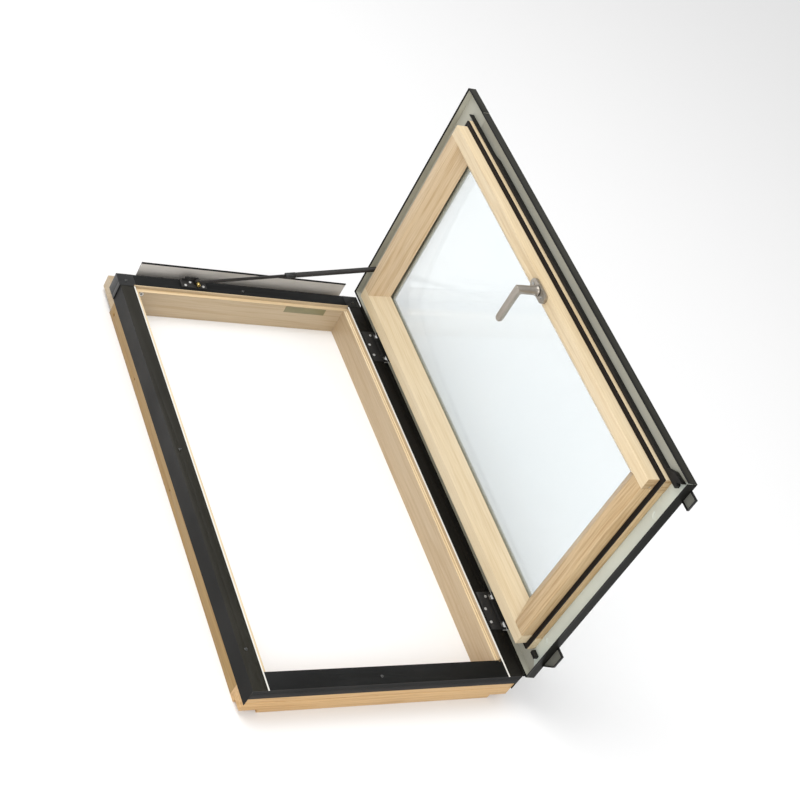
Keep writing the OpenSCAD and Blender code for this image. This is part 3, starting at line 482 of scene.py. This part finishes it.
eased("sash_bottom_rail", sash_arris,
      [pine("pine_sash_bottom", rail_turn, (0.42, -0.66, 0.5), (200, 175, 138), 0.9, 0.7)],
      "sash", segments=3)
eased("sash_top_rail", sash_arris,
      [pine("pine_sash_top", rail_turn, (0.22, 0.64, 0.2), (204, 182, 150), 0.8, 0.5)],
      "sash", segments=3)
eased("sash_free_stile", 0.0020,
      [pine("pine_sash_free", lengthwise, (0.44, 0.1, 0.84), (224, 206, 174), 0.4, 0.4),
       pine("pine_end_grain", crosswise, (0.30, -0.60, 0.60), (186, 160, 124), 1.0, 0.8)],
      "sash", segments=3, sides=end_face)
eased("sash_hinge_stile", sash_arris,
      [pine("pine_sash_hinge", lengthwise, (0.16, -0.2, 0.06), (214, 198, 168), 0.4, 0.25)],
      "sash", segments=3)
eased("mortice_plug", 0.0003,
      [pine("pine_plug", lengthwise, (0.40, 0.0, 0.7), (224, 195, 150))], "sash")

# ---- Gasket and glazing -------------------------------------------------------------
# A dark rubber gasket on the sash's step, two panes with a grey spacer between them,
# bedded on a rubber seal and held down by a thin tape under the covers.


def rubber(name, colour, roughness=0.6):
    """Extruded rubber: almost black, faint bloom in slow patches, fine drawn lines."""
    b = Bench(name)
    b.colour(b.clouds(30.0, 3.0), [(0.35, colour), (0.75, shade(colour, 1.5, 0.002))])
    b.relief(b.clouds(1500.0, 1.0), 0.2, 0.0001)
    b.tell(b.skin, Roughness=roughness, Specular_IOR_Level=0.22)
    return b.material


gasket_brown = rubber("gasket_brown", light(17, 11, 8))
seal_black = rubber("seal_black", light(26, 25, 24), 0.5)
spacer_grey = plated("spacer_grey", light(158, 152, 132), 0.45, 0.3)
eased("sash_gasket", 0.0012, [gasket_brown], "sash", segments=3)
eased("glazing_seal", 0.0003, [seal_black], "sash")
eased("glazing_tape", 0.0002, [seal_black], "sash")
eased("spacer_bar", 0.0003, [spacer_grey], "sash")

# Coated glass: a faint blue cast that drifts over the pane, and weak reflections.
glass = Bench("window_glass")
glass.colour(glass.clouds(3.5, 1.0), [(0.3, (0.85, 0.972, 1.0, 1)), (0.7, (0.88, 0.98, 1.0, 1))])
glass.tell(glass.skin, Transmission_Weight=1.0, Roughness=0.0, IOR=1.18, Alpha=0.22)
for pane in ("inner_pane", "outer_pane"):
    eased(pane, 0.0004, [glass.material], "sash", segments=1, flat=True)

# ---- Sash covers --------------------------------------------------------------------
# Folded aluminium: a flat flange over the timber and glass edge, turned down at a rim
# with a hemmed lip. Umber outside, pale back coat inside, black on the hem. Two tabs
# hang below the lower rim and lead the rain off.
hinge_line = np.array([0.338, 0.0, 0.082])
hem_height = 0.0868
tab_floor = 0.099


def swung(points, angle, pivot=0.0):
    """Turns points about the hinge line's direction: counted from the pivot, x becomes x
    cosine less z sine and z becomes x sine plus z cosine. Directions have no pivot."""
    x, y, z = np.moveaxis(np.asarray(points, float) - pivot, -1, 0)
    c, s = math.cos(angle), math.sin(angle)
    return np.stack([x * c - z * s, y, x * s + z * c], axis=-1) + pivot


def stand_open(points):
    """Swings points of the shut sash about the hinge pins to where they stand open."""
    return swung(points, -sash_turn, hinge_line)


def cover_sides(normals, middles):
    """Back coat on faces that look into the sash, under the flange and inside the rim, and
    black on the hem, as judged on the shut sash, which lies flat."""
    way = swung(normals, sash_turn)
    spot = swung(middles, sash_turn, hinge_line)
    under = way[:, 2] < -0.6
    inward_x = (np.abs(way[:, 0]) > 0.6) & (way[:, 0] * spot[:, 0] < 0)
    inward_y = (np.abs(way[:, 1]) > 0.6) & (way[:, 1] * spot[:, 1] < 0)
    return np.where(spot[:, 2] < hem_height, 2, np.where(under | inward_x | inward_y, 1, 0))


def tab_sides(normals, middles):
    """Back coat only on the tab's plate, seen between its folded edges."""
    way = swung(normals, sash_turn)
    spot = swung(middles, sash_turn, hinge_line)
    return np.where((way[:, 2] < -0.6) & (spot[:, 2] > tab_floor), 1, 0)


hem_cut = (stand_open((hinge_line[0], 0.0, hem_height)).tolist(),
           swung((0.0, 0.0, 1.0), -sash_turn).tolist())
pale_back = baked_coat("pale_back_coat", light(182, 181, 168), 0.45, 0.02)
# The bottom cover's back coat is lighter and its umber darker than the others': painted light on
# its flange, painted shade on its outside.
back_painted_light = baked_coat("painted_light_back_coat", light(228, 235, 226), 0.45, 0.02)
umber_sash = baked_coat("umber_coat_sash", light(34, 33, 26), 0.5)
umber_painted_shade_low = baked_coat("umber_coat_painted_shade", light(17, 17, 13), 0.5)
for cover, outside, inside in (("sash_free_cover", umber_sash, pale_back),
                               ("sash_hinge_cover", umber_sash, pale_back),
                               ("sash_top_cover", umber_sash, pale_back),
                               ("sash_bottom_cover", umber_painted_shade_low, back_painted_light)):
    eased(cover, 0.0004, [outside, inside, hem_black], "sash", sides=cover_sides, cuts=[hem_cut])
tab_plate = baked_coat("tab_back_coat", light(112, 112, 104), 0.45, 0.02)
for tab in ("free_drip_tab", "hinge_drip_tab"):
    eased(tab, 0.0003, [hem_black, tab_plate], "sash", sides=tab_sides)

# ---- Stamped marks ------------------------------------------------------------------
# Two crescent ribs pressed into the underside of the bottom cover's flange, where the
# sheet was nibbled free for the drip tabs; they carry the same back coat as the flange,
# with the same painted light.
flange_underside, inside_sheet = 0.10199, 0.1024


def tube_skin(name, rings, finish, body, width=0.0):
    """Skins a row of closed sections with quads and fans both ends, faces outwards: each
    quad joins two neighbours on one section to the same two on the next."""
    rows, turns = rings.shape[:2]
    i, j = np.meshgrid(np.arange(rows - 1), np.arange(turns), indexing="ij")
    k = (j + 1) % turns
    this, following = i * turns, (i + 1) * turns
    quads = np.stack([this + j, this + k, following + k, following + j], axis=-1)
    ends = [list(range(turns))[::-1], list(range((rows - 1) * turns, rows * turns))]
    mesh = bpy.data.meshes.new(name)
    mesh.from_pydata(rings.reshape(-1, 3).tolist(), [], quads.reshape(-1, 4).tolist() + ends)
    work = bmesh.new()
    work.from_mesh(mesh)
    bmesh.ops.recalc_face_normals(work, faces=work.faces)
    work.to_mesh(mesh)
    work.free()
    mesh.polygons.foreach_set("use_smooth", np.full(len(mesh.polygons), True))
    mesh.materials.append(finish)
    piece = bpy.data.objects.new(name, mesh)
    bpy.context.collection.objects.link(piece)
    if width > 0.0:
        round_edges(piece, width, segments=3, limit=28)
    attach(piece, body)
    return piece


def crescent(middle_x, middle_y, radius=0.0095, rise=0.0011, half_width=0.0016):
    """A rib that runs round 250 degrees of a circle on the flange's underside. Its height
    over the sheet is a half cosine across the rib times the root of a sine along it, so
    that both ends fade into the sheet; the rib's back lies just inside the sheet."""
    along = np.linspace(0.0, 1.0, 41)[:, None]
    across = np.linspace(-1.0, 1.0, 13)[None, :]
    angle = math.radians(-150.0) + along * math.radians(250.0)
    reach = radius + across * half_width
    height = rise * np.cos(across * math.pi / 2.0) * np.sin(along * math.pi) ** 0.5
    x = middle_x + reach * np.cos(angle)
    y = middle_y + reach * np.sin(angle)
    under = np.stack([x, y, flange_underside - height], axis=-1)
    back = np.stack([x, y, np.full_like(x, inside_sheet)], axis=-1)
    return np.concatenate([under, back[:, ::-1]], axis=1)


for mark, spot in (("hinge_side_mark", (0.2385, -0.5695)), ("free_side_mark", (-0.2050, -0.5720))):
    tube_skin(mark, stand_open(crescent(*spot)), back_painted_light, "sash")

# ---- Side seal and corner pad -------------------------------------------------------
# A black rubber profile under the cover's flange, along the free side of the sash, and a
# small rubber pad at the lower hinge corner that lands on the frame.
eased("side_seal", 0.0006, [seal_black], "sash", segments=3)
eased("corner_pad", 0.0008, [seal_black], "sash", segments=3)

# ---- Lock ---------------------------------------------------------------------------
# A zinc plated steel case let into the free stile, a disc with two crank pins that the
# handle's spindle turns, and two shoot bolts that the pins drive up and down the stile.
eased("lock_case", 0.0003, [zinc], "sash")
eased("drive_disc", 0.0002, [zinc], "handle")
eased("upper_bolt_rod", 0.0003, [zinc], "upper_bolt")
eased("lower_bolt_rod", 0.0003, [zinc], "lower_bolt")

# ---- Handle -------------------------------------------------------------------------
# A cast lever, its neck bent into a flat grip, on a rosette that is screwed to the free
# stile. Both are in satin nickel.
nickel = plated("satin_nickel", light(178, 171, 161), 0.36, 0.9)
eased("handle_rosette", 0.0016, [nickel], "sash", segments=4)
neck_x, neck_y = -0.265, -0.013


def lever_shape():
    """Sections set across a bent axis, first along the neck and then along the grip. Each
    is a rounded square: half width times the cosine, and half height times the sine, both
    raised to a power that squares the section up. The one at the elbow leans at 45 degrees
    and is longer by the root of two, which makes the mitre; both ends draw in to a pole."""
    # distance inwards, height, half along the bend, half across, squareness, lean of section
    sections = np.array([
        (0.0000, 0.0480, 0.0001, 0.0001, 1.0, 0.0), (0.0000, 0.0480, 0.0092, 0.0092, 1.0, 0.0),
        (0.0000, 0.0405, 0.0092, 0.0092, 1.0, 0.0), (0.0000, 0.0402, 0.0118, 0.0118, 1.0, 0.0),
        (0.0000, 0.0372, 0.0118, 0.0118, 1.0, 0.0), (0.0000, 0.0354, 0.0108, 0.0108, 1.0, 0.0),
        (0.0000, 0.0320, 0.0096, 0.0102, 1.0, 0.0), (0.0000, 0.0200, 0.0093, 0.0100, 0.95, 0.0),
        (0.0000, 0.0060, 0.0091, 0.0098, 0.9, 0.0), (0.0000, 0.0015, 0.0090, 0.0096, 0.85, 0.0),
        (0.0005, -0.0085, 0.0088, 0.0094, 0.8, 1.0), (0.0105, -0.0095, 0.0084, 0.0092, 0.75, 2.0),
        (0.0300, -0.0100, 0.0076, 0.0090, 0.7, 2.0), (0.0560, -0.0102, 0.0074, 0.0092, 0.7, 2.0),
        (0.0830, -0.0102, 0.0074, 0.0090, 0.7, 2.0), (0.0885, -0.0102, 0.0068, 0.0084, 0.75, 2.1),
        (0.0915, -0.0102, 0.0054, 0.0068, 0.85, 2.2), (0.0930, -0.0102, 0.0028, 0.0038, 1.0, 2.2),
        (0.0933, -0.0102, 0.0001, 0.0001, 1.0, 2.2)])
    inwards, height, along, across, square, lean = (column[:, None] for column in sections.T)
    around = np.linspace(0.0, 2.0 * math.pi, 40, endpoint=False)[None, :]
    c, s = np.cos(around), np.sin(around)
    bend_way = along * np.sign(c) * np.abs(c) ** square
    side_way = across * np.sign(s) * np.abs(s) ** square
    level = np.clip(2.0 - lean, 0.0, 1.0)
    rise = np.clip(lean, 0.0, 1.0)
    slant = np.clip(lean - 2.0, 0.0, 1.0)
    x = neck_x + inwards + bend_way * (level - slant)
    y = neck_y + side_way
    z = height + bend_way * rise
    return np.stack([x, y, z], axis=-1)


lever = tube_skin("handle_lever_finished", stand_open(lever_shape()), nickel, "handle", 0.0009)
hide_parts("handle_lever")

# ---- Stay ---------------------------------------------------------------------------
# A steel rod with a brass bush in its eye slides in a black tube with a plastic collar;
# the tube turns on a journal of the bracket screwed to the sash's top rail.
stay_black = baked_coat("stay_black", light(40, 38, 36), 0.35)
brass_bush = plated("brass_bush", light(206, 180, 110), 0.25)
eased("stay_rod", 0.0004, [stay_black], "stay_rod")
eased("stay_bush", 0.0004, [brass_bush], "stay_rod")
eased("stay_tube", 0.0005, [stay_black], "stay_tube")
eased("stay_sleeve", 0.0006, [cap_plastic], "stay_tube")
eased("stay_sash_bracket", 0.0005, [hinge_black], "sash")
